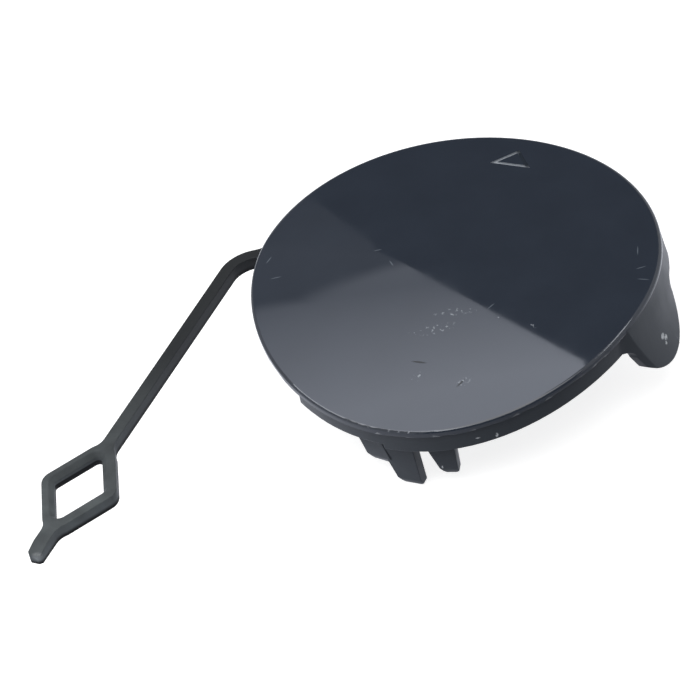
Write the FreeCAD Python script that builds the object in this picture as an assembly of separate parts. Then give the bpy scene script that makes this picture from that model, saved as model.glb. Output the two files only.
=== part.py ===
import FreeCAD, Part
import math
import os

# Cover for the towing eye hole of a car bumper. The whole cover is one injection moulding:
# a round show face that follows the bend of the bumper, a skirt under it, two flared hook
# tongues, three snap fingers, and a thin flexible strap that ends in a diamond loop.
#
# Frame: millimetres. The origin is the crown of the show face on the axis of the skirt.
# +Z points out of the bumper, +Y from the snap fingers to the arrow mark, and the strap
# leaves towards -X. Azimuths are in degrees from +X towards +Y.

# Show face. It bends down towards the fingers, and is nearly flat towards the arrow mark.
face_diameter = 70.0
face_wall = 2.2
lip_thickness = 1.0
edge_round = 0.6
bend_radius_fingers = 90.0
bend_radius_mark = 600.0
bend_radius_sides = 900.0

# Skirt that enters the hole, with an opening where the strap folds away. From the opening
# to the middle snap finger it is less deep.
skirt_inset = 0.6
skirt_wall = 1.8
skirt_depth = 5.0
skirt_shallow_depth = 4.05
skirt_shallow_end = 268.0
skirt_gap_start = 189.0
skirt_gap_end = 239.0
skirt_gap_reach = 3.2

# Hook tongues that swing behind the edge of the hole. Each flares out from the lip to its
# tip, and has a low shoulder on the side of the larger azimuths. A ramp at both ends of the
# root leads from the skirt's wall to the flared face. The sides are given by their length
# under the root's fillets, and slope inwards.
tongue_azimuths = (-0.5, 163.0)
tongue_inset = 0.2
tongue_lean_angle = 7.0
tongue_flare_radius = 65.0
tongue_width = 16.7
tongue_root_fillet = 2.0
tongue_ramp = 5.5
tongue_sides = (2.7, 0.3)
tongue_side_slope = 20.0
tongue_shoulder = 7.3
tongue_wall = 2.2
tongue_depth = 14.0

# Two ribs behind each tongue
rib_spacing = 7.0
rib_wall = 1.2
rib_reach = 4.5
rib_depth = 6.0

# Snap fingers: azimuth, width, depth of the tip, and the slope of the two long sides
snap_fingers = ((-100.0, 4.6, 17.6, 19.0, -19.0),
                (-91.4, 6.8, 21.7, 19.0, -4.3),
                (-77.5, 5.6, 18.9, 20.0, 0.0))
finger_wall = 1.3
finger_clearance = 1.0
finger_catch = 0.8
finger_shoulder = 1.4
finger_lead_in = 1.6
finger_corner_cut = 0.5

# Strap, flat and level with the bottom of the skirt where it leaves it
strap_width = 2.25
strap_thickness = 2.5
strap_root_azimuth = 179.5
strap_root_heading = 205.0
strap_root_length = 3.6
strap_bend_radius = 6.0
strap_heading = 267.2
strap_length = 44.4
strap_gusset = 1.6

# Diamond loop and the short tail that is pulled through an anchor hole. The bars of the
# loop slope down to its window, which sits a little nearer the strap and the cover's back.
# The end of the tail slopes down to its tip.
loop_length = 25.0
loop_width = 14.2
loop_bar = 2.16
loop_bevel = 0.8
loop_bevel_drop = 0.9
loop_corner_radius = 2.6
window_corner_radius = 0.8
window_shift_along = -0.20
window_shift_across = -0.31
junction_radius = 3.0
tail_width = 2.5
tail_length = 3.4
tail_slope_length = 2.6
tail_slope_drop = 0.6
tail_end_cut = 0.5

# Arrow mark sunk in the show face, pointing out to the place that is pressed
mark_azimuth = 89.0
mark_base = 7.4
mark_height = 4.5
mark_line = 0.55
mark_sink = 0.25
mark_edge_distance = 3.7

# Worked out from the sizes above
face_radius = face_diameter / 2
skirt_radius = face_radius - skirt_inset
skirt_bore = skirt_radius - skirt_wall
tool_margin = 5.0
same_place = 0.01
up = FreeCAD.Vector(0, 0, 1)
origin = FreeCAD.Vector(0, 0, 0)


def spine_height(y):
    """Height of the show face on the line x = 0."""
    bend = bend_radius_fingers if y < 0 else bend_radius_mark
    return math.sqrt(bend ** 2 - y ** 2) - bend


def face_height(x, y):
    """Height of the show face: its spine is turned about a line far below the cover."""
    return math.sqrt((bend_radius_sides + spine_height(y)) ** 2 - x ** 2) - bend_radius_sides


def edge_height(radius, azimuth):
    """Height of the show face above a point given by its radius and azimuth."""
    angle = math.radians(azimuth)
    return face_height(radius * math.cos(angle), radius * math.sin(angle))


def spine_arcs(reach, drop):
    """The two arcs of the spine, from -Y to +Y, let down by drop."""
    points = [FreeCAD.Vector(0, y, spine_height(y) - drop)
              for y in (-reach, -reach / 2, 0, reach / 2, reach)]
    return [Part.Arc(*points[:3]).toShape(), Part.Arc(*points[2:]).toShape()]


def crowned_disc(radius, top, bottom):
    """Round slab whose top and bottom follow the show face, let down by top and bottom."""
    reach = radius + tool_margin
    upper = spine_arcs(reach, top)
    lower = spine_arcs(reach, bottom)
    ends = [Part.makeLine(upper[0].Vertexes[0].Point, lower[0].Vertexes[0].Point),
            Part.makeLine(upper[1].Vertexes[-1].Point, lower[1].Vertexes[-1].Point)]
    section = Part.Face(Part.Wire(Part.__sortEdges__(upper + lower + ends)))
    centre = FreeCAD.Vector(0, 0, -bend_radius_sides)
    along = FreeCAD.Vector(0, 1, 0)
    half_turn = math.degrees(math.asin(reach / (bend_radius_sides - bottom - tool_margin)))
    section.rotate(centre, along, -half_turn)
    sheet = section.revolve(centre, along, 2 * half_turn)
    lowest = face_height(0, -reach) - bottom - tool_margin
    tall = tool_margin - lowest
    return sheet.common(Part.makeCylinder(radius, tall, FreeCAD.Vector(0, 0, lowest)))


def polygon(points):
    """Flat face inside straight lines."""
    return Part.Face(Part.makePolygon(points + points[:1]))


def at_azimuth(shape, azimuth):
    """The shape, modelled on +X, turned to its azimuth."""
    turned = shape.copy()
    turned.rotate(origin, up, azimuth)
    return turned


def show_face():
    """Thin lip, rounded at the front, on a thicker plate that carries the skirt."""
    lip = crowned_disc(face_radius, 0, lip_thickness)
    front_edges = [edge for edge in lip.Edges if on_front_edge(edge)]
    lip = lip.makeFillet(edge_round, front_edges)
    plate = crowned_disc(skirt_radius, lip_thickness / 2, face_wall)
    return lip.fuse(plate)


def on_front_edge(edge):
    """True for the parts of the outer edge that lie in the show face."""
    middle = edge.valueAt((edge.FirstParameter + edge.LastParameter) / 2)
    off_edge = math.hypot(middle.x, middle.y) - face_radius
    off_face = middle.z - face_height(middle.x, middle.y)
    return max(abs(off_edge), abs(off_face)) < same_place


def wedge(start, end):
    """Tall prism on the axis between two azimuths less than half a turn apart."""
    far = 3 * face_radius
    top = FreeCAD.Vector(0, 0, tool_margin)
    corners = [top] + [top + heading_vector(azimuth, far) for azimuth in (start, end)]
    return polygon(corners).extrude(FreeCAD.Vector(0, 0, -far))


def tongue_span():
    """Angles from the middle of a tongue to the two ends of its root."""
    start = math.degrees((tongue_width / 2 + tongue_root_fillet) / skirt_radius)
    return -start, start + math.degrees(tongue_shoulder / skirt_radius)


def tongue_sector(azimuth):
    """Wedge that holds a tongue, with the fillets and the shoulder at its root."""
    start, end = tongue_span()
    return wedge(azimuth + start, azimuth + end)


def skirt():
    """Ring under the plate, left out where the tongues go on down from it."""
    slab = crowned_disc(skirt_radius, lip_thickness / 2, skirt_depth)
    ring = slab.cut(crowned_disc(skirt_bore, 0, skirt_depth + tool_margin))
    spare = crowned_disc(face_radius, skirt_shallow_depth, skirt_depth + tool_margin)
    ring = ring.cut(spare.common(wedge(skirt_gap_end, skirt_shallow_end)))
    return ring.cut([tongue_sector(azimuth) for azimuth in tongue_azimuths])


def skirt_opening():
    """Sector taken out of the skirt and of the plate's edge beside the strap."""
    inner = skirt_bore - skirt_gap_reach
    ring = crowned_disc(face_radius + tool_margin, lip_thickness, skirt_depth + tool_margin)
    ring = ring.cut(crowned_disc(inner, 0, skirt_depth + 2 * tool_margin))
    return ring.common(wedge(skirt_gap_start, skirt_gap_end))


def tongue_outline(azimuth):
    """Outline of a tongue on +X, seen along the radius: fillets at the skirt, round end."""
    half = tongue_width / 2
    wide = half + tongue_root_fillet
    spread = math.degrees(wide / skirt_radius)
    sag = tongue_root_fillet * (1 - math.sqrt(0.5))
    edges = []
    heads = []
    lows = []
    for side, straight in zip((-1, 1), tongue_sides):
        skirt_edge = edge_height(skirt_radius, azimuth + side * spread) - skirt_depth
        head = FreeCAD.Vector(0, side * wide, skirt_edge + skirt_wall)
        foot = FreeCAD.Vector(0, side * wide, skirt_edge)
        middle = FreeCAD.Vector(0, side * (half + sag), skirt_edge - sag)
        turn = FreeCAD.Vector(0, side * half, skirt_edge - tongue_root_fillet)
        inwards = straight * math.tan(math.radians(tongue_side_slope))
        low = turn - FreeCAD.Vector(0, side * inwards, straight)
        edges += [Part.makeLine(head, foot), Part.Arc(foot, middle, turn).toShape(),
                  Part.makeLine(turn, low)]
        heads.append(head)
        lows.append(low)
    tip = FreeCAD.Vector(0, 0, -tongue_depth)
    edges += [Part.Arc(lows[0], tip, lows[1]).toShape(), Part.makeLine(*heads)]
    face = Part.Face(Part.Wire(Part.__sortEdges__(edges)))
    return face.extrude(FreeCAD.Vector(2 * face_radius, 0, 0))


def tongue_face(depth):
    """Radius of the outer face of a tongue at a depth below the crown."""
    lean = depth * math.tan(math.radians(tongue_lean_angle))
    return face_radius - tongue_inset + lean + depth ** 2 / (2 * tongue_flare_radius)


def tongue_section():
    """Section of the flared wall of a tongue in the plane y = 0."""
    outer = [FreeCAD.Vector(tongue_face(depth), 0, -depth)
             for depth in (0, tongue_depth / 2, tongue_depth)]
    inner = [point - FreeCAD.Vector(tongue_wall, 0, 0) for point in outer]
    edges = [Part.Arc(*outer).toShape(), Part.makeLine(outer[2], inner[2]),
             Part.Arc(*inner).toShape(), Part.makeLine(inner[0], outer[0])]
    return Part.Face(Part.Wire(Part.__sortEdges__(edges)))


def ramp_space(azimuth, turn):
    """Space over the ramp that starts at one end of a tongue's root. Turn is its angle."""
    reach = tongue_face(tongue_depth)
    foot = heading_vector(azimuth, skirt_radius)
    space = polygon([foot, heading_vector(azimuth, reach), heading_vector(azimuth + turn, reach)])
    space.translate(FreeCAD.Vector(0, 0, tool_margin))
    return space.extrude(FreeCAD.Vector(0, 0, -face_diameter))


def tongue(azimuth):
    """Wall that takes the skirt's place and goes on down, leaning out, to its tip."""
    start, end = tongue_span()
    turn = math.degrees(tongue_ramp / skirt_radius)
    section = tongue_section()
    section.rotate(origin, up, azimuth + start)
    wall = section.revolve(origin, up, end - start)
    wall = wall.cut([ramp_space(azimuth + start, turn), ramp_space(azimuth + end, -turn)])
    root = crowned_disc(face_radius + tool_margin, lip_thickness / 2, skirt_depth)
    outline = root.fuse(at_azimuth(tongue_outline(azimuth), azimuth))
    return wall.common(outline).fuse(at_azimuth(tongue_ribs(azimuth), azimuth))


def tongue_ribs(azimuth):
    """Two triangular ribs on +X, between the inside of a tongue and the plate."""
    root = edge_height(skirt_bore - rib_reach, azimuth) - lip_thickness
    foot = tongue_face(rib_depth - root) - tongue_wall
    side = polygon([FreeCAD.Vector(skirt_bore - rib_reach, 0, root),
                    FreeCAD.Vector(tongue_face(-root) - tongue_wall / 2, 0, root),
                    FreeCAD.Vector(foot + tongue_wall / 2, 0, root - rib_depth),
                    FreeCAD.Vector(foot, 0, root - rib_depth),
                    FreeCAD.Vector(skirt_bore - rib_reach, 0, root - face_wall)])
    ribs = []
    for place in (-rib_spacing / 2, rib_spacing / 2):
        rib = side.extrude(FreeCAD.Vector(0, rib_wall, 0))
        rib.translate(FreeCAD.Vector(0, place - rib_wall / 2, 0))
        ribs.append(rib)
    return ribs[0].fuse(ribs[1])


def snap_finger(azimuth, width, tip_depth, start_slope, end_slope):
    """Finger on the plate. Its head stands out past the shank, below the skirt's edge."""
    outer = skirt_bore - finger_clearance
    inner = outer - finger_wall
    root = edge_height(outer, azimuth) - face_wall / 2
    shoulder = edge_height(outer, azimuth) - skirt_depth
    side = polygon([FreeCAD.Vector(inner, 0, root),
                    FreeCAD.Vector(outer, 0, root),
                    FreeCAD.Vector(outer, 0, shoulder),
                    FreeCAD.Vector(outer + finger_catch, 0, shoulder - finger_shoulder),
                    FreeCAD.Vector(outer + finger_catch, 0, finger_lead_in - tip_depth),
                    FreeCAD.Vector(outer, 0, -tip_depth),
                    FreeCAD.Vector(inner, 0, -tip_depth)])
    body = side.extrude(FreeCAD.Vector(0, face_diameter, 0))
    body.translate(FreeCAD.Vector(0, -face_radius, 0))
    outline = finger_outline(width, root, shoulder, tip_depth, start_slope, end_slope)
    return at_azimuth(body.common(outline), azimuth)


def finger_outline(width, root, shoulder, tip_depth, start_slope, end_slope):
    """Outline of a finger on +X, seen along the radius. The sides slope from the shoulder."""
    points = []
    for side, slope in ((-1, start_slope), (1, end_slope)):
        run = math.tan(math.radians(slope))
        straight = shoulder + tip_depth - finger_corner_cut
        foot = side * (width / 2 - straight * run)
        cut = side * finger_corner_cut
        points.append([FreeCAD.Vector(0, side * width / 2, root + tool_margin),
                       FreeCAD.Vector(0, side * width / 2, shoulder),
                       FreeCAD.Vector(0, foot, finger_corner_cut - tip_depth),
                       FreeCAD.Vector(0, foot - cut, -tip_depth)])
    outline = polygon(points[0] + points[1][::-1])
    return outline.extrude(FreeCAD.Vector(2 * face_radius, 0, 0))


def heading_vector(azimuth, length=1.0):
    """Flat vector of a given azimuth and length."""
    angle = math.radians(azimuth)
    return FreeCAD.Vector(length * math.cos(angle), length * math.sin(angle), 0)


def strap_path():
    """Centre line of the strap: a short root, one bend and a long straight run."""
    start = heading_vector(strap_root_azimuth, skirt_radius - skirt_wall / 2)
    bend_start = start + heading_vector(strap_root_heading, strap_root_length)
    centre = bend_start + heading_vector(strap_root_heading + 90, strap_bend_radius)
    middle_heading = (strap_root_heading + strap_heading) / 2
    bend_middle = centre + heading_vector(middle_heading - 90, strap_bend_radius)
    bend_end = centre + heading_vector(strap_heading - 90, strap_bend_radius)
    end = bend_end + heading_vector(strap_heading, strap_length)
    return start, bend_start, bend_middle, bend_end, end


def strap():
    """Strap, loop and tail, all in one level."""
    start, bend_start, bend_middle, bend_end, end = strap_path()
    path = Part.Wire([Part.makeLine(start, bend_start),
                      Part.Arc(bend_start, bend_middle, bend_end).toShape(),
                      Part.makeLine(bend_end, end)])
    ribbon = Part.Face(path.makeOffset2D(strap_width / 2))
    anchor = loop_outline().fuse(tail_outline())
    anchor = placed_at_end(anchor, end)
    rise = FreeCAD.Vector(0, 0, strap_thickness)
    slabs = [face.extrude(rise) for face in [ribbon, root_gusset(start)] + anchor.Faces]
    joined = slabs[0].fuse(slabs[1:]).removeSplitter()
    bottom_face = min(joined.Faces, key=lambda face: face.CenterOfMass.z)
    outline = bottom_face.OuterWire.makeOffset2D(junction_radius)
    outline = outline.makeOffset2D(-junction_radius)
    band = Part.Face(outline).extrude(rise)
    band = band.cut([placed_at_end(loop_window(), end), placed_at_end(tail_slope_space(), end)])
    bottom = edge_height(skirt_radius, strap_root_azimuth) - skirt_depth
    band.translate(FreeCAD.Vector(0, 0, bottom))
    return band


def placed_at_end(shape, end):
    """The shape, modelled on +X from the end of the strap, moved to that end."""
    placed = shape.copy()
    placed.rotate(origin, up, strap_heading)
    placed.translate(end)
    return placed


def root_gusset(start):
    """Small web on both sides of the strap where it leaves the skirt."""
    along = heading_vector(strap_root_heading)
    across = heading_vector(strap_root_heading + 90)
    foot = start + along * (skirt_wall / 2)
    tip = foot + along * strap_gusset
    wide = across * (strap_width / 2 + strap_gusset)
    narrow = across * (strap_width / 2)
    return polygon([foot + wide, foot - wide, tip - narrow, tip + narrow])


def loop_slope():
    """Angle between a side of the diamond and its long axis."""
    return math.atan2(loop_width, loop_length)


def loop_middle():
    """Distance of the middle of the diamond from the end of the strap."""
    return (loop_length - strap_width / math.tan(loop_slope())) / 2


def diamond(half_width, corner_radius, height=0.0):
    """Outline of a diamond like the loop, of a given half width, with round corners."""
    slope = loop_slope()
    core_width = half_width - corner_radius / math.cos(slope)
    core_length = core_width / math.tan(slope)
    middle = loop_middle()
    core = Part.makePolygon([FreeCAD.Vector(middle - core_length, 0, height),
                             FreeCAD.Vector(middle, -core_width, height),
                             FreeCAD.Vector(middle + core_length, 0, height),
                             FreeCAD.Vector(middle, core_width, height),
                             FreeCAD.Vector(middle - core_length, 0, height)])
    return core.makeOffset2D(corner_radius)


def loop_outline():
    """Outer face of the diamond loop."""
    return Part.Face(diamond(loop_width / 2, loop_corner_radius))


def loop_window():
    """Space of the window: straight at the bottom, and widening to the top."""
    half_width = loop_width / 2 - loop_bar / math.cos(loop_slope())
    bevel_start = strap_thickness - loop_bevel_drop
    window = diamond(half_width, window_corner_radius)
    low = diamond(half_width, window_corner_radius, bevel_start)
    grown = loop_bevel / math.cos(loop_slope())
    high = diamond(half_width + grown, window_corner_radius + loop_bevel, strap_thickness)
    straight = Part.Face(window).extrude(FreeCAD.Vector(0, 0, bevel_start))
    space = straight.fuse(Part.makeLoft([low, high], True))
    space.translate(FreeCAD.Vector(window_shift_along, window_shift_across, 0))
    return space


def tail_outline():
    """Outline of the tail beyond the loop, with its two end corners cut."""
    start = loop_middle()
    end = start + loop_length / 2 + tail_length
    half = tail_width / 2
    return polygon([FreeCAD.Vector(start, -half, 0),
                    FreeCAD.Vector(end - tail_end_cut, -half, 0),
                    FreeCAD.Vector(end, tail_end_cut - half, 0),
                    FreeCAD.Vector(end, half - tail_end_cut, 0),
                    FreeCAD.Vector(end - tail_end_cut, half, 0),
                    FreeCAD.Vector(start, half, 0)])


def tail_slope_space():
    """Space over the sloping end of the tail."""
    end = loop_middle() + loop_length / 2 + tail_length
    start = end - tail_slope_length
    section = polygon([FreeCAD.Vector(start, -tail_width, strap_thickness),
                       FreeCAD.Vector(end, -tail_width, strap_thickness - tail_slope_drop),
                       FreeCAD.Vector(end, -tail_width, 2 * strap_thickness),
                       FreeCAD.Vector(start, -tail_width, 2 * strap_thickness)])
    return section.extrude(FreeCAD.Vector(0, 2 * tail_width, 0))


def mark_groove():
    """Three-sided line sunk in the show face, with its point towards the edge."""
    point = face_radius - mark_edge_distance
    base = point - mark_height
    outline = Part.makePolygon([FreeCAD.Vector(-mark_base / 2, base, 0),
                                FreeCAD.Vector(mark_base / 2, base, 0),
                                FreeCAD.Vector(0, point, 0),
                                FreeCAD.Vector(-mark_base / 2, base, 0)])
    inside = outline.makeOffset2D(-mark_line, join=2)
    line = Part.Face(outline).cut(Part.Face(inside))
    lowest = face_height(mark_base, point) - face_wall
    line.translate(FreeCAD.Vector(0, 0, lowest))
    prism = line.extrude(FreeCAD.Vector(0, 0, tool_margin - lowest))
    prism.rotate(origin, up, mark_azimuth - 90)
    return prism.cut(crowned_disc(face_radius, mark_sink, face_wall + tool_margin))


def tow_eye_cover():
    """The whole moulding as one solid."""
    cover = show_face().fuse(skirt())
    cover = cover.cut(skirt_opening())
    pieces = [tongue(azimuth) for azimuth in tongue_azimuths]
    pieces += [snap_finger(*finger) for finger in snap_fingers]
    pieces.append(strap())
    cover = cover.fuse(pieces).cut(mark_groove())
    return cover.removeSplitter()


os.makedirs("parts", exist_ok=True)
tow_eye_cover().exportStep("parts/tow_eye_cover.step")
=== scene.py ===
import math

import bmesh
import bpy
from mathutils import Euler, Matrix, Vector, geometry


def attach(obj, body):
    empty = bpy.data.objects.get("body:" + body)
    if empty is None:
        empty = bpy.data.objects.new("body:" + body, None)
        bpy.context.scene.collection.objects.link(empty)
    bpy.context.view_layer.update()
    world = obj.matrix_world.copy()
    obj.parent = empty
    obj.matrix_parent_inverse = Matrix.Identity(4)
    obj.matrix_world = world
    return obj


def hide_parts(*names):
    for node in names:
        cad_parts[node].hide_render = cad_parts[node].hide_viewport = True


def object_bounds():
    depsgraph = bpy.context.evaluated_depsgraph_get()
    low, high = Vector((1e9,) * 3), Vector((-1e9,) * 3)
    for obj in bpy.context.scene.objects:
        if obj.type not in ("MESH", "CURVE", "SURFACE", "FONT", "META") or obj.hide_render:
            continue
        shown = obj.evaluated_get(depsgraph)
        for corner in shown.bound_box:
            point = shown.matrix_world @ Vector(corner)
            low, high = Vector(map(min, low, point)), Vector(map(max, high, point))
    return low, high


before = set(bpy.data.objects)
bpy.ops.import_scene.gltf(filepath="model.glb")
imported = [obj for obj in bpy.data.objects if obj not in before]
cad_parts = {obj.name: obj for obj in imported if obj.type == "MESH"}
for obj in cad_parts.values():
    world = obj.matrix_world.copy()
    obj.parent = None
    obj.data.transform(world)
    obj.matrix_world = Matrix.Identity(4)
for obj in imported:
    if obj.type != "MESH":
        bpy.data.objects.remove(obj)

cad_box = [list(corner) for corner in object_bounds()]
scene = bpy.context.scene
scene.view_settings.view_transform = "Standard"


# The cover is one shot of near-black ABS: bent show face, skirt, hook tongues, snap fingers
# and strap. The show face is laid out again here as a fine, even mesh on its true bend,
# because it is polished and mirrors the room, and every outer edge gets its small radius.
FACE_RADIUS = 0.0350
FACE_EDGE_ROUND = 0.0006
BEND_RADIUS_FINGERS = 0.090
BEND_RADIUS_MARK = 0.600
BEND_RADIUS_SIDES = 0.900
FACE_MESH_STEP = 0.0009
FACE_MESH_ROW = FACE_MESH_STEP * math.sqrt(0.75)
CLEAR_OF_BORDER = FACE_MESH_STEP * 0.6
LOOKS_UP = 0.5
SAME_POINT = 1e-6
ON_FACE = 4e-6
SAME_FLAT_POINT = 1e-9
FLAT_TURN = math.radians(0.3)
SHARP_EDGE = math.radians(32)
EDGE_RADIUS = 0.00015
EDGE_SEGMENTS = 2
FACE_WEIGHT = 100
LIP_THICKNESS = 0.001
LIP_ZONE = 0.0023
MARK_ZONE = 0.0335
MARK_SINK = 0.00025
STRAP_ZONE = 0.0362
STRAP_LOOKS_UP = 0.6
LOOP_MIDDLE = (-0.0432, -0.0610)
WINDOW_REACH = 0.0088

# The cover's material slots, in the order in which they are filled below.
SATIN, POLISHED, FLEXED, GROOVE_LIT = range(4)


def face_height(x, y):
    """Height of the show face over a point, from its two bends."""
    bend = BEND_RADIUS_FINGERS if y < 0 else BEND_RADIUS_MARK
    spine = math.sqrt(bend ** 2 - y ** 2) - bend
    return math.sqrt((BEND_RADIUS_SIDES + spine) ** 2 - x ** 2) - BEND_RADIUS_SIDES


def on_show_face(vert):
    """True for a point of the show face inside the rounded edge."""
    x, y, z = vert.co
    inside = math.hypot(x, y) < FACE_RADIUS - FACE_EDGE_ROUND / 2
    return inside and abs(z - face_height(x, y)) < ON_FACE


def inside_loops(point, loops):
    """True for a flat point that an odd number of the closed lines of points goes round."""
    inside = False
    for loop in loops:
        for here, there in zip(loop, loop[1:] + loop[:1]):
            if (here.y > point.y) != (there.y > point.y):
                cross = here.x + (point.y - here.y) * (there.x - here.x) / (there.y - here.y)
                if point.x < cross:
                    inside = not inside
    return inside


def border_loops(edges):
    """The closed lines of points that a list of border edges makes."""
    left = list(edges)
    loops = []
    while left:
        edge = left.pop()
        loop = [edge.verts[0], edge.verts[1]]
        while loop[-1] is not loop[0]:
            edge = next(other for other in loop[-1].link_edges if other in left)
            left.remove(edge)
            loop.append(edge.other_vert(loop[-1]))
        loops.append(loop[:-1])
    return loops


cover_shape = bmesh.new()
cover_shape.from_mesh(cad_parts["tow_eye_cover"].data)
bmesh.ops.remove_doubles(cover_shape, verts=cover_shape.verts, dist=SAME_POINT)
bmesh.ops.dissolve_limit(cover_shape, angle_limit=FLAT_TURN, verts=cover_shape.verts,
                         edges=cover_shape.edges)
old_faces = [face for face in cover_shape.faces
             if face.normal.z > LOOKS_UP and all(on_show_face(vert) for vert in face.verts)]
face_set = set(old_faces)
border = [edge for edge in cover_shape.edges
          if sum(face in face_set for face in edge.link_faces) == 1]
loops = border_loops(border)
bmesh.ops.delete(cover_shape, geom=old_faces, context="FACES")
flat_loops = [[vert.co.to_2d() for vert in loop] for loop in loops]

reach = int(FACE_RADIUS / FACE_MESH_ROW) + 1
grid = []
for row in range(-reach, reach + 1):
    for column in range(-reach, reach + 1):
        place = Vector(((column + 0.5 * (row % 2)) * FACE_MESH_STEP, row * FACE_MESH_ROW))
        near = min((place - point).length for loop in flat_loops for point in loop)
        if near > CLEAR_OF_BORDER and inside_loops(place, flat_loops):
            grid.append(place)
line_ends = []
for loop in flat_loops:
    first = len(line_ends)
    line_ends += [(first + i, first + (i + 1) % len(loop)) for i in range(len(loop))]
border_points = [point for loop in flat_loops for point in loop]
border_verts = [vert for loop in loops for vert in loop]
points, _, triangles, origins, _, _ = geometry.delaunay_2d_cdt(
    border_points + grid, line_ends, [], 0, SAME_FLAT_POINT)
new_verts = []
for point, origin in zip(points, origins):
    known = [index for index in origin if index < len(border_verts)]
    if known:
        new_verts.append(border_verts[known[0]])
    else:
        new_verts.append(cover_shape.verts.new((point.x, point.y, face_height(point.x, point.y))))
for triangle in triangles:
    middle = sum((points[index] for index in triangle), Vector((0, 0))) / 3
    if inside_loops(middle, flat_loops):
        new_face = cover_shape.faces.new([new_verts[index] for index in triangle])
        new_face.material_index = POLISHED

bevel_weight = cover_shape.edges.layers.float.new("bevel_weight_edge")
for edge in cover_shape.edges:
    depths = [face_height(vert.co.x, vert.co.y) - vert.co.z for vert in edge.verts
              if vert.co.xy.length < FACE_RADIUS]
    clear_of_lip = not depths or min(depths) > LIP_ZONE
    if edge.calc_face_angle() > SHARP_EDGE:
        rounded = clear_of_lip and edge.is_convex
        edge[bevel_weight] = float(rounded)
        edge.smooth = rounded

# This layer says how the strap is painted for light and shade: 1 on its flat, painted pale as
# lit, 0 at the foot of its sides, and -1 at the foot of the window's walls, both painted black as
# shade.
lit_level = cover_shape.verts.layers.float.new("lit_level")
for face in cover_shape.faces:
    middle = face.calc_center_median()
    depth = face_height(middle.x, middle.y) - middle.z if middle.xy.length < STRAP_ZONE else 0
    on_lip = FACE_RADIUS - 2 * FACE_EDGE_ROUND < middle.xy.length < FACE_RADIUS + SAME_POINT
    if on_lip and depth < LIP_THICKNESS - SAME_POINT:
        face.material_index = POLISHED
    # The arrow's groove, whose two strokes are painted pale, a painted highlight.
    elif (middle.xy.length < MARK_ZONE and depth < 2 * MARK_SINK
          and face.material_index == SATIN):
        face.material_index = GROOVE_LIT
    elif middle.xy.length > STRAP_ZONE and middle.x < 0 and middle.y < 0:
        face.material_index = FLEXED
        outwards = middle.xy - Vector(LOOP_MIDDLE)
        # The window's walls are painted black at their foot, a painted shade.
        if outwards.length < WINDOW_REACH and outwards.dot(face.normal.xy) < 0:
            for vert in face.verts:
                vert[lit_level] = -1.0
# The strap's flats are painted pale, a painted light.
for face in cover_shape.faces:
    if face.material_index == FLEXED and face.normal.z > STRAP_LOOKS_UP:
        for vert in face.verts:
            vert[lit_level] = 1.0

cover_mesh = bpy.data.meshes.new("tow_hook_cover_moulding")
cover_shape.to_mesh(cover_mesh)
cover_shape.free()
cover = bpy.data.objects.new("tow_hook_cover_moulding", cover_mesh)
scene.collection.objects.link(cover)
for polygon in cover_mesh.polygons:
    polygon.use_smooth = True
edge_rounding = cover.modifiers.new("edge radius", "BEVEL")
edge_rounding.width = EDGE_RADIUS
edge_rounding.segments = EDGE_SEGMENTS
edge_rounding.limit_method = "WEIGHT"
edge_rounding.use_clamp_overlap = False
face_weights = cover.modifiers.new("face weights", "WEIGHTED_NORMAL")
face_weights.keep_sharp = True
face_weights.weight = FACE_WEIGHT
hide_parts("tow_eye_cover")
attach(cover, "root")


# The plastic is ABS, coloured right through with carbon black that leans to blue. The mould
# is polished for the show face, which mirrors the lamps, and spark-eroded and satin for the
# skirt, the tongues, the fingers and the strap. Both have the marks of handling.
ABS_IOR = 1.50
SATIN_IOR = 1.40
SATIN_SPECULAR = 0.38
STREAK_CORE = 0.5
MM = 0.001


def linear(code):
    """Linear red, green and blue of an sRGB hex colour."""
    parts = [int(code[i:i + 2], 16) / 255 for i in (1, 3, 5)]
    return [part / 12.92 if part <= 0.04045 else ((part + 0.055) / 1.055) ** 2.4
            for part in parts] + [1.0]


def add(tree, kind, inputs=None, **settings):
    """A new node with its settings, and each input given a value or linked to a socket."""
    node = tree.nodes.new(kind)
    for name, value in settings.items():
        setattr(node, name, value)
    for name, value in (inputs or {}).items():
        if isinstance(value, bpy.types.NodeSocket):
            tree.links.new(value, node.inputs[name])
        else:
            node.inputs[name].default_value = value
    return node


def empty_material(name):
    """A material with an empty node tree."""
    material = bpy.data.materials.new(name)
    material.use_nodes = True
    material.node_tree.nodes.clear()
    return material


def streaks(tree, place, spots):
    """Mask of small marks. Each is given in mm by its middle, half sizes and turn about Z."""
    mask = 0.0
    for middle, half_sizes, turn in spots:
        local = add(tree, "ShaderNodeMapping", {
            "Vector": place, "Location": [value * MM for value in middle],
            "Rotation": (0, 0, math.radians(turn)),
            "Scale": [value * MM for value in half_sizes]}, vector_type="TEXTURE")
        reach = add(tree, "ShaderNodeVectorMath", {0: local.outputs["Vector"]},
                    operation="LENGTH")
        core = add(tree, "ShaderNodeMapRange", {"Value": reach.outputs["Value"],
                                                "From Min": 1.0, "From Max": STREAK_CORE})
        mask = add(tree, "ShaderNodeMath", {0: mask, 1: core.outputs["Result"]},
                   operation="MAXIMUM").outputs["Value"]
    return mask


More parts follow.
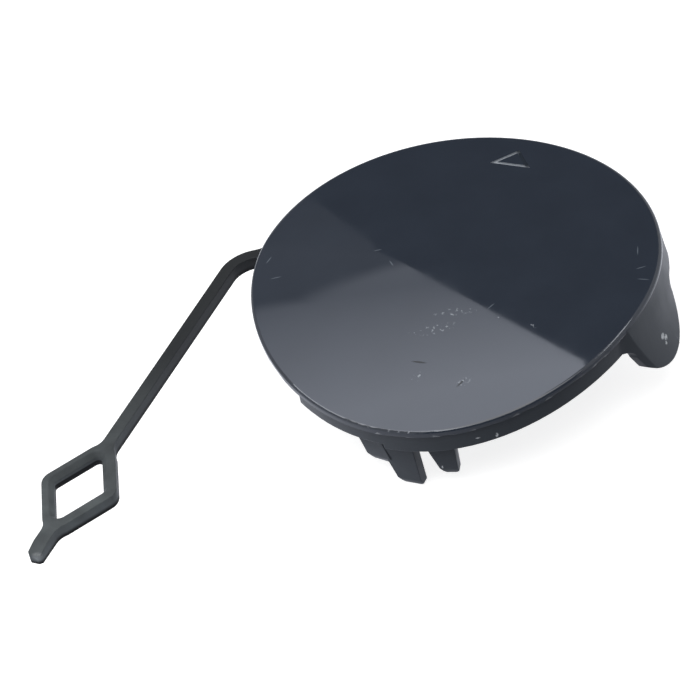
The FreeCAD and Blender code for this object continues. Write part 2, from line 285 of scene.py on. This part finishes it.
# Satin: spark-eroded, which gives a soft sheen with slow clouds of gloss. The real grain, under
# 0.1 mm, is too fine to show and is drawn at 0.5 mm. A rough spot is left on the tongue where
# the gate was cut, and the skirt and the fingers have small nicks.
GRAIN = 0.0005
GRAIN_DEPTH = 6e-6
CLOUD = 0.006
GATE_FRAY = 0.0006
TORN = (0.36, 0.50)
SATIN_ROUGHNESS = (0.36, 0.50)
SATIN_BLACKS = ("#2b3036", "#363b41")
TORN_GREY = "#b2b6b9"
NICKS = [((36.6, -1.7, -9.1), (2.0, 0.7, 0.6), 0), ((36.8, -1.0, -9.9), (2.0, 0.6, 0.6), 0),
         ((37.0, -1.6, -10.7), (2.0, 0.35, 0.5), 0),
         ((14.46, -31.21, -9.29), (0.5, 0.5, 0.16), 0),
         ((17.23, -29.77, -9.4), (0.3, 0.3, 0.55), 0),
         ((7.23, -31.58, -16.9), (0.16, 0.6, 0.35), 0)]
satin_abs = empty_material("moulded satin ABS")
tree = satin_abs.node_tree
place = add(tree, "ShaderNodeTexCoord").outputs["Object"]
grain = add(tree, "ShaderNodeTexNoise", {"Vector": place, "Scale": 1 / GRAIN, "Detail": 3.0})
cloud = add(tree, "ShaderNodeTexNoise", {"Vector": place, "Scale": 1 / CLOUD, "Detail": 4.0})
fray = add(tree, "ShaderNodeTexNoise", {"Vector": place, "Scale": 1 / GATE_FRAY, "Detail": 2.0})
torn = add(tree, "ShaderNodeMapRange", {"Value": fray.outputs["Fac"], "From Min": TORN[0],
                                        "From Max": TORN[1]})
nick = add(tree, "ShaderNodeMath", {0: streaks(tree, place, NICKS), 1: torn.outputs["Result"]},
           operation="MULTIPLY")
tone = add(tree, "ShaderNodeMix", {0: cloud.outputs["Fac"], 6: linear(SATIN_BLACKS[0]),
                                   7: linear(SATIN_BLACKS[1])}, data_type="RGBA")
paint = add(tree, "ShaderNodeMix", {0: nick.outputs["Value"], 6: tone.outputs[2],
                                    7: linear(TORN_GREY)}, data_type="RGBA")
gloss = add(tree, "ShaderNodeMapRange", {
    "Value": cloud.outputs["Fac"], "From Min": 0.3, "From Max": 0.7,
    "To Min": SATIN_ROUGHNESS[0], "To Max": SATIN_ROUGHNESS[1]})
relief = add(tree, "ShaderNodeBump", {"Height": grain.outputs["Fac"], "Distance": GRAIN_DEPTH})
skin = add(tree, "ShaderNodeBsdfPrincipled", {
    "Base Color": paint.outputs[2], "Roughness": gloss.outputs["Result"], "IOR": SATIN_IOR,
    "Specular IOR Level": SATIN_SPECULAR, "Normal": relief.outputs["Normal"]})
add(tree, "ShaderNodeOutputMaterial", {"Surface": skin.outputs["BSDF"]})

# Polished: nearly a mirror, with a faint orange peel, dull smudges and short scratches. Where
# it was scuffed the plastic is pale and matt, in specks.
PEEL = 0.006
PEEL_DEPTH = 0.6e-6
SMUDGE = 0.010
SPECK = 0.0006
SPECKS_SHOW = (0.58, 0.72)
POLISHED_ROUGHNESS = (0.03, 0.08)
SCUFFED_ROUGHNESS = 0.55
POLISHED_BLACKS = ("#292e37", "#2f353f")
SCORED_BLACK = "#15181c"
HAIRLINE_GREY = "#565d66"
SCUFFED_GREY = "#858b92"
SCUFFS = [((4.3, -11.6, -0.8), (4.2, 1.0, 5), 18), ((2.2, -15.6, -1.4), (4.6, 1.2, 5), 24),
          ((18.2, -12.0, -1.0), (1.0, 0.6, 5), 0), ((11.8, -11.5, -0.8), (0.6, 0.4, 5), 0),
          ((2.5, -25.0, -3.6), (1.4, 0.9, 5), 30), ((10.4, -24.7, -3.5), (1.6, 0.8, 5), 45)]
HAIRLINES = [((31.5, 4.95, -0.6), (1.0, 0.13, 5), 38), ((32.8, 2.2, -0.6), (1.2, 0.12, 5), 8),
             ((29.6, 9.0, -0.5), (1.3, 0.12, 5), -72), ((-10.4, -2.5, -0.1), (0.9, 0.14, 5), -45),
             ((-14.0, 0.3, -0.1), (0.8, 0.12, 5), 30), ((10.0, -9.2, -0.5), (0.9, 0.14, 5), 62),
             ((-32.2, -5.1, -0.7), (1.0, 0.14, 5), 80), ((-29.3, -9.0, -0.9), (1.1, 0.12, 5), 25)]
SCORES = [((1.8, -22.35, -2.8), (1.6, 0.22, 5), 2), ((10.0, -25.0, -3.6), (1.1, 0.2, 5), 60)]
polished_abs = empty_material("polished ABS show face")
tree = polished_abs.node_tree
place = add(tree, "ShaderNodeTexCoord").outputs["Object"]
peel = add(tree, "ShaderNodeTexNoise", {"Vector": place, "Scale": 1 / PEEL, "Detail": 1.0})
smudge = add(tree, "ShaderNodeTexNoise", {"Vector": place, "Scale": 1 / SMUDGE, "Detail": 5.0})
speck = add(tree, "ShaderNodeTexNoise", {"Vector": place, "Scale": 1 / SPECK, "Detail": 1.0})
sparse = add(tree, "ShaderNodeMapRange", {
    "Value": speck.outputs["Fac"], "From Min": SPECKS_SHOW[0], "From Max": SPECKS_SHOW[1]})
scuff = add(tree, "ShaderNodeMath", {0: streaks(tree, place, SCUFFS),
                                     1: sparse.outputs["Result"]}, operation="MULTIPLY")
hairline = streaks(tree, place, HAIRLINES)
score = streaks(tree, place, SCORES)
tone = add(tree, "ShaderNodeMix", {0: smudge.outputs["Fac"], 6: linear(POLISHED_BLACKS[0]),
                                   7: linear(POLISHED_BLACKS[1])}, data_type="RGBA")
scored = add(tree, "ShaderNodeMix", {0: score, 6: tone.outputs[2], 7: linear(SCORED_BLACK)},
             data_type="RGBA")
lined = add(tree, "ShaderNodeMix", {0: hairline, 6: scored.outputs[2],
                                    7: linear(HAIRLINE_GREY)}, data_type="RGBA")
paint = add(tree, "ShaderNodeMix", {0: scuff.outputs["Value"], 6: lined.outputs[2],
                                    7: linear(SCUFFED_GREY)}, data_type="RGBA")
gloss = add(tree, "ShaderNodeMapRange", {
    "Value": smudge.outputs["Fac"], "From Min": 0.40, "From Max": 0.75,
    "To Min": POLISHED_ROUGHNESS[0], "To Max": POLISHED_ROUGHNESS[1]})
dulled = add(tree, "ShaderNodeMath", {0: score, 1: scuff.outputs["Value"]}, operation="MAXIMUM")
rough = add(tree, "ShaderNodeMix", {0: dulled.outputs["Value"], 2: gloss.outputs["Result"],
                                    3: SCUFFED_ROUGHNESS}, data_type="FLOAT")
relief = add(tree, "ShaderNodeBump", {"Height": peel.outputs["Fac"], "Distance": PEEL_DEPTH})
skin = add(tree, "ShaderNodeBsdfPrincipled", {
    "Base Color": paint.outputs[2], "Roughness": rough.outputs[0], "IOR": ABS_IOR,
    "Normal": relief.outputs["Normal"]})
add(tree, "ShaderNodeOutputMaterial", {"Surface": skin.outputs["BSDF"]})

# Strap: the same satin plastic, flexed and gone matt. Its flat and the upper part of its sides
# are painted pale grey, a painted light, and it is painted black at its root, a painted shadow of
# the cover's edge that fades towards the loop. The foot of the sides and the window's walls are
# painted black, a painted shade, and the cut end of the tail is paler.
STRAP_CLOUD = 0.004
STRAP_SPECULAR = 0.12
STRAP_ROUGHNESS = 0.55
ROOT_SHADOW_BLACK = "#2b2d2f"
LIT_FLAT_GREYS = ("#484c4e", "#555a5c")
CUT_END_GREY = "#8a8e90"
PAINTED_SHADE_BLACK = "#101214"
LIT_LEVEL_FADE = (0.2, 0.45)
ROOT_SHADOW_FADE = (-0.028, -0.064)
TAIL_END = [((-42.9, -77.0, -4.1), (1.3, 0.8, 1.0), 0)]
flexed_abs = empty_material("matt flexed ABS strap")
tree = flexed_abs.node_tree
place = add(tree, "ShaderNodeTexCoord").outputs["Object"]
grain = add(tree, "ShaderNodeTexNoise", {"Vector": place, "Scale": 1 / GRAIN, "Detail": 3.0})
cloud = add(tree, "ShaderNodeTexNoise", {"Vector": place, "Scale": 1 / STRAP_CLOUD,
                                         "Detail": 4.0})
mottle = add(tree, "ShaderNodeMapRange", {"Value": cloud.outputs["Fac"], "From Min": 0.35,
                                          "From Max": 0.65})
cut_end = add(tree, "ShaderNodeMath", {0: streaks(tree, place, TAIL_END),
                                       1: grain.outputs["Fac"]}, operation="MULTIPLY")
tone = add(tree, "ShaderNodeMix", {0: mottle.outputs["Result"], 6: linear(LIT_FLAT_GREYS[0]),
                                   7: linear(LIT_FLAT_GREYS[1])}, data_type="RGBA")
axes = add(tree, "ShaderNodeSeparateXYZ", {"Vector": place})
# Painted shadow: black at the strap's root under the cover's edge, fading to its greys towards
# the loop.
out_of_root_shadow = add(tree, "ShaderNodeMapRange", {"Value": axes.outputs["Y"],
                                           "From Min": ROOT_SHADOW_FADE[0],
                                           "From Max": ROOT_SHADOW_FADE[1]})
root_shadowed = add(tree, "ShaderNodeMix", {0: out_of_root_shadow.outputs["Result"], 6: linear(ROOT_SHADOW_BLACK),
                                    7: tone.outputs[2]}, data_type="RGBA")
ended = add(tree, "ShaderNodeMix", {0: cut_end.outputs["Value"], 6: root_shadowed.outputs[2],
                                    7: linear(CUT_END_GREY)}, data_type="RGBA")
# Painted light and shade: pale on the flats and upper sides, black at the foot of the sides and
# walls.
side_light = add(tree, "ShaderNodeAttribute", attribute_name="lit_level")
side_lit = add(tree, "ShaderNodeMapRange", {"Value": side_light.outputs["Fac"],
                                                "From Min": LIT_LEVEL_FADE[0],
                                                "From Max": LIT_LEVEL_FADE[1]})
paint = add(tree, "ShaderNodeMix", {0: side_lit.outputs["Result"],
                                    6: linear(PAINTED_SHADE_BLACK), 7: ended.outputs[2]},
            data_type="RGBA")
relief = add(tree, "ShaderNodeBump", {"Height": grain.outputs["Fac"], "Distance": GRAIN_DEPTH})
skin = add(tree, "ShaderNodeBsdfPrincipled", {
    "Base Color": paint.outputs[2], "Roughness": STRAP_ROUGHNESS, "IOR": SATIN_IOR,
    "Specular IOR Level": STRAP_SPECULAR, "Normal": relief.outputs["Normal"]})
add(tree, "ShaderNodeOutputMaterial", {"Surface": skin.outputs["BSDF"]})

# Arrow mark: its groove is painted pale and matt in two strokes, a painted highlight for groove
# walls that face the light, and left as dark and polished as the face in the third, the one that
# runs from the point to the corner on the tongue's side.
LIT_STROKE_ROUGHNESS = 0.5
THIRD_ROUGHNESS = 0.08
GROOVE_HIGHLIGHT_GREY = "#8d9299"
THIRD_BLACK = "#2c323a"
THIRD_STROKE = [((2.03, 29.15, -0.5), (4.2, 0.70, 5), -51.5)]
groove_highlight_abs = empty_material("arrow groove with painted highlight")
tree = groove_highlight_abs.node_tree
place = add(tree, "ShaderNodeTexCoord").outputs["Object"]
third = streaks(tree, place, THIRD_STROKE)
# Painted highlight: pale grey in two strokes, the face's dark in the third.
paint = add(tree, "ShaderNodeMix", {0: third, 6: linear(GROOVE_HIGHLIGHT_GREY), 7: linear(THIRD_BLACK)},
            data_type="RGBA")
rough = add(tree, "ShaderNodeMapRange", {"Value": third, "To Min": LIT_STROKE_ROUGHNESS,
                                         "To Max": THIRD_ROUGHNESS})
skin = add(tree, "ShaderNodeBsdfPrincipled", {
    "Base Color": paint.outputs[2], "Roughness": rough.outputs["Result"], "IOR": ABS_IOR})
add(tree, "ShaderNodeOutputMaterial", {"Surface": skin.outputs["BSDF"]})
for material in (satin_abs, polished_abs, flexed_abs, groove_highlight_abs):
    cover_mesh.materials.append(material)


# The studio's floor: a table of white acrylic, which only the camera sees, over a sheet of grey
# paper, which lights the cover's underside and sides. The sheet is dimmer towards the side of
# the fingers and the tongue.
TABLE_HEIGHT = cad_box[0][2]
TABLE_HALF = 4.0
SHEET_GAP = 0.002


def rectangle(half_width, half_height):
    """The corners of a rectangle round the origin, in turn."""
    return [(-half_width, -half_height), (half_width, -half_height),
            (half_width, half_height), (-half_width, half_height)]


floors = []
for name, height in (("table", TABLE_HEIGHT), ("grey_sheet", TABLE_HEIGHT - SHEET_GAP)):
    floor_mesh = bpy.data.meshes.new(name)
    floor_mesh.from_pydata([(x, y, height) for x, y in rectangle(TABLE_HALF, TABLE_HALF)],
                           [], [(0, 1, 2, 3)])
    floor = bpy.data.objects.new(name, floor_mesh)
    scene.collection.objects.link(floor)
    floors.append(floor)
table, grey_sheet = floors
table.visible_diffuse = False
table.visible_glossy = False
table.visible_shadow = False
grey_sheet.visible_camera = False

TABLE_LIGHT = 0.80
lit_acrylic = empty_material("white acrylic lit from below")
skin = add(lit_acrylic.node_tree, "ShaderNodeBsdfPrincipled", {
    "Base Color": linear("#c0c0c0"), "Roughness": 1.0, "Specular IOR Level": 0.0,
    "Emission Strength": TABLE_LIGHT, "Emission Color": linear("#ffffff")})
add(lit_acrylic.node_tree, "ShaderNodeOutputMaterial", {"Surface": skin.outputs["BSDF"]})
table.data.materials.append(lit_acrylic)

DIM_SIDE = (0.766, -0.643, 0.0)
DIMMED = (0.1, 0.95)
SHEET_LIGHT = (1.5, 0.33)
grey_paper = empty_material("grey paper lit from below")
tree = grey_paper.node_tree
place = add(tree, "ShaderNodeTexCoord").outputs["Object"]
outwards = add(tree, "ShaderNodeVectorMath", {0: place}, operation="NORMALIZE")
to_dim_side = add(tree, "ShaderNodeVectorMath", {0: outwards.outputs["Vector"], 1: DIM_SIDE},
                  operation="DOT_PRODUCT")
sheet_light = add(tree, "ShaderNodeMapRange", {
    "Value": to_dim_side.outputs["Value"], "From Min": DIMMED[0], "From Max": DIMMED[1],
    "To Min": SHEET_LIGHT[0], "To Max": SHEET_LIGHT[1]})
skin = add(tree, "ShaderNodeBsdfPrincipled", {
    "Base Color": linear("#404143"), "Roughness": 1.0, "Specular IOR Level": 0.0,
    "Emission Strength": sheet_light.outputs["Result"], "Emission Color": linear("#f2f5ff")})
add(tree, "ShaderNodeOutputMaterial", {"Surface": skin.outputs["BSDF"]})
grey_sheet.data.materials.append(grey_paper)


# The studio's cards, which only mirrors see. The show face mirrors a soft box beside a black
# card, and their shared edge is the line across it. Its rim mirrors two white cards. Points of
# an outline are in metres: x runs anticlockwise as seen from above, and y runs upwards.
CARD_DISTANCE = 2.0
BOX_AZIMUTH = 120
BOX_ELEVATION = 45
SHARED_EDGE = [(0.130, -1.0), (0.130, -0.600), (0.035, -0.334), (0.010, -0.271),
               (0.008, -0.158), (0.063, 0.652), (0.083, 0.950)]
BLACK_CARD_OUTLINE = [(-0.55, -1.0)] + SHARED_EDGE + [(-0.55, 0.950)]
SOFT_BOX_OUTLINE = [(1.2, -1.0), (1.2, 2.2), (0.160, 2.2)] + SHARED_EDGE[::-1]
FRONT_RIM_CARD = {"azimuth": 230, "elevation": 56, "outline": rectangle(0.8, 0.3)}
RIGHT_RIM_CARD = {"azimuth": 40, "elevation": 65, "outline": rectangle(0.5, 0.15)}


def direction(azimuth, elevation):
    """A step of one metre in a direction given in degrees."""
    flat = math.cos(math.radians(elevation))
    return Vector((flat * math.cos(math.radians(azimuth)),
                   flat * math.sin(math.radians(azimuth)), math.sin(math.radians(elevation))))


def card(name, material, azimuth, elevation, outline):
    """A flat card that only mirrors see, square to a direction from the cover."""
    towards = direction(azimuth, elevation)
    side = Vector((0, 0, 1)).cross(towards).normalized()
    mesh = bpy.data.meshes.new(name)
    mesh.from_pydata([(x, y, 0) for x, y in outline], [], [range(len(outline))])
    mesh.materials.append(material)
    placed = bpy.data.objects.new(name, mesh)
    placed.matrix_world = (Matrix.Translation(towards * CARD_DISTANCE)
                           @ Matrix((side, towards.cross(side), towards)).transposed().to_4x4())
    scene.collection.objects.link(placed)
    placed.visible_camera = False
    placed.visible_diffuse = False
    placed.visible_shadow = False


black_felt = empty_material("black felt")
dark = add(black_felt.node_tree, "ShaderNodeEmission", {"Strength": 0.0})
add(black_felt.node_tree, "ShaderNodeOutputMaterial", {"Surface": dark.outputs["Emission"]})
card("black_card", black_felt, BOX_AZIMUTH, BOX_ELEVATION, BLACK_CARD_OUTLINE)

# Soft box: the cloth is brighter upwards and towards the black card. It ends in a hem of two
# slopes, each given by its rise and its height where x is 0, and under it is a dim wall.
STEEP_HEM = (1.27, -0.168)
SHALLOW_HEM = (0.65, 0.029)
HEM_SOFTNESS = (-0.02, 0.06)
BOX_LIGHT = 1.12
BOX_LIGHT_ACROSS = -3.11
BOX_LIGHT_UP = 4.08
BOX_LIGHT_LIMITS = (1.2, 3.7)
WALL_SPAN = (-0.52, -0.20)
WALL_LIGHT = (0.10, 0.32)
soft_box = empty_material("soft box cloth")
tree = soft_box.node_tree
place = add(tree, "ShaderNodeTexCoord").outputs["Object"]
axes = add(tree, "ShaderNodeSeparateXYZ", {"Vector": place})
steep = add(tree, "ShaderNodeMath", {0: axes.outputs["X"], 1: STEEP_HEM[0], 2: STEEP_HEM[1]},
            operation="MULTIPLY_ADD")
shallow = add(tree, "ShaderNodeMath", {0: axes.outputs["X"], 1: SHALLOW_HEM[0],
                                       2: SHALLOW_HEM[1]}, operation="MULTIPLY_ADD")
hem = add(tree, "ShaderNodeMath", {0: steep.outputs["Value"], 1: shallow.outputs["Value"]},
          operation="MINIMUM")
above = add(tree, "ShaderNodeMath", {0: axes.outputs["Y"], 1: hem.outputs["Value"]},
            operation="SUBTRACT")
lit = add(tree, "ShaderNodeMapRange", {
    "Value": above.outputs["Value"], "From Min": HEM_SOFTNESS[0],
    "From Max": HEM_SOFTNESS[1]}, interpolation_type="SMOOTHSTEP")
box_rise = add(tree, "ShaderNodeMath", {0: axes.outputs["Y"], 1: BOX_LIGHT_UP, 2: BOX_LIGHT},
               operation="MULTIPLY_ADD")
box_slope = add(tree, "ShaderNodeMath", {0: axes.outputs["X"], 1: BOX_LIGHT_ACROSS,
                                         2: box_rise.outputs["Value"]}, operation="MULTIPLY_ADD")
box_light = add(tree, "ShaderNodeClamp", {"Value": box_slope.outputs["Value"],
                                          "Min": BOX_LIGHT_LIMITS[0], "Max": BOX_LIGHT_LIMITS[1]})
wall_light = add(tree, "ShaderNodeMapRange", {
    "Value": axes.outputs["Y"], "From Min": WALL_SPAN[0], "From Max": WALL_SPAN[1],
    "To Min": WALL_LIGHT[0], "To Max": WALL_LIGHT[1]})
strength = add(tree, "ShaderNodeMix", {0: lit.outputs["Result"], 2: wall_light.outputs["Result"],
                                       3: box_light.outputs["Result"]}, data_type="FLOAT")
glow = add(tree, "ShaderNodeEmission", {"Strength": strength.outputs[0],
                                        "Color": linear("#eef3ff")})
add(tree, "ShaderNodeOutputMaterial", {"Surface": glow.outputs["Emission"]})
card("soft_box", soft_box, BOX_AZIMUTH, BOX_ELEVATION, SOFT_BOX_OUTLINE)

RIM_LIGHT = 7.0
white_card = empty_material("white card")
glow = add(white_card.node_tree, "ShaderNodeEmission", {"Strength": RIM_LIGHT,
                                                        "Color": linear("#f4f7ff")})
add(white_card.node_tree, "ShaderNodeOutputMaterial", {"Surface": glow.outputs["Emission"]})
card("front_rim_card", white_card, **FRONT_RIM_CARD)
card("right_rim_card", white_card, **RIGHT_RIM_CARD)


# The studio's light: a pale room, one large lamp overhead, and a dark screen of black felt,
# stood behind the camera, that keeps the sides towards the camera dark.
SCREEN_AZIMUTH = -60
SCREEN_DISTANCE = 0.80
SCREEN_HALF_WIDTH = 0.65
SCREEN_TOP = 0.90
towards_screen = direction(SCREEN_AZIMUTH, 0)
screen_side = Vector((0, 0, 1)).cross(towards_screen) * SCREEN_HALF_WIDTH
screen_foot = towards_screen * SCREEN_DISTANCE
screen_mesh = bpy.data.meshes.new("dark_screen")
screen_mesh.from_pydata([screen_foot + screen_side * side + Vector((0, 0, height))
                         for side, height in ((-1, TABLE_HEIGHT), (1, TABLE_HEIGHT),
                                              (1, SCREEN_TOP), (-1, SCREEN_TOP))],
                        [], [(0, 1, 2, 3)])
screen_mesh.materials.append(black_felt)
screen = bpy.data.objects.new("dark_screen", screen_mesh)
scene.collection.objects.link(screen)
screen.visible_camera = False

ROOM_LIGHT = 0.85
room = bpy.data.worlds.new("pale room")
room.use_nodes = True
room.node_tree.nodes["Background"].inputs["Color"].default_value = linear("#f6f6f6")
room.node_tree.nodes["Background"].inputs["Strength"].default_value = ROOM_LIGHT
scene.world = room

LAMP_LENGTH = 2.4
LAMP_WIDTH = 1.4
LAMP_PLACE = (-0.2, -0.87, 1.9)
LAMP_WATTS = 29
lamp_data = bpy.data.lights.new("overhead lamp", "AREA")
lamp_data.shape = "RECTANGLE"
lamp_data.size = LAMP_LENGTH
lamp_data.size_y = LAMP_WIDTH
lamp_data.energy = LAMP_WATTS
lamp = bpy.data.objects.new("overhead lamp", lamp_data)
lamp.location = LAMP_PLACE
scene.collection.objects.link(lamp)


# The camera stands where the photograph was taken from, worked out from the outline of the
# face. Angles are in degrees, and the lens and its sensor in millimetres.
CAMERA_PLACE = (0.19900, -0.38976, 0.35831)
CAMERA_AZIMUTH = -60.310
CAMERA_ELEVATION = 40.454
CAMERA_ROLL = 12.137
CAMERA_LENS = 172.94
CAMERA_SENSOR = 36.0
CAMERA_SEES = (0.05, 50.0)
camera_data = bpy.data.cameras.new("camera")
camera_data.lens = CAMERA_LENS
camera_data.sensor_width = CAMERA_SENSOR
camera_data.clip_start, camera_data.clip_end = CAMERA_SEES
camera = bpy.data.objects.new("camera", camera_data)
aim = Euler((math.radians(90 - CAMERA_ELEVATION), 0, math.radians(CAMERA_AZIMUTH + 90)))
camera.matrix_world = (Matrix.Translation(CAMERA_PLACE) @ aim.to_matrix().to_4x4()
                       @ Matrix.Rotation(math.radians(-CAMERA_ROLL), 4, "Z"))
scene.collection.objects.link(camera)
scene.camera = camera
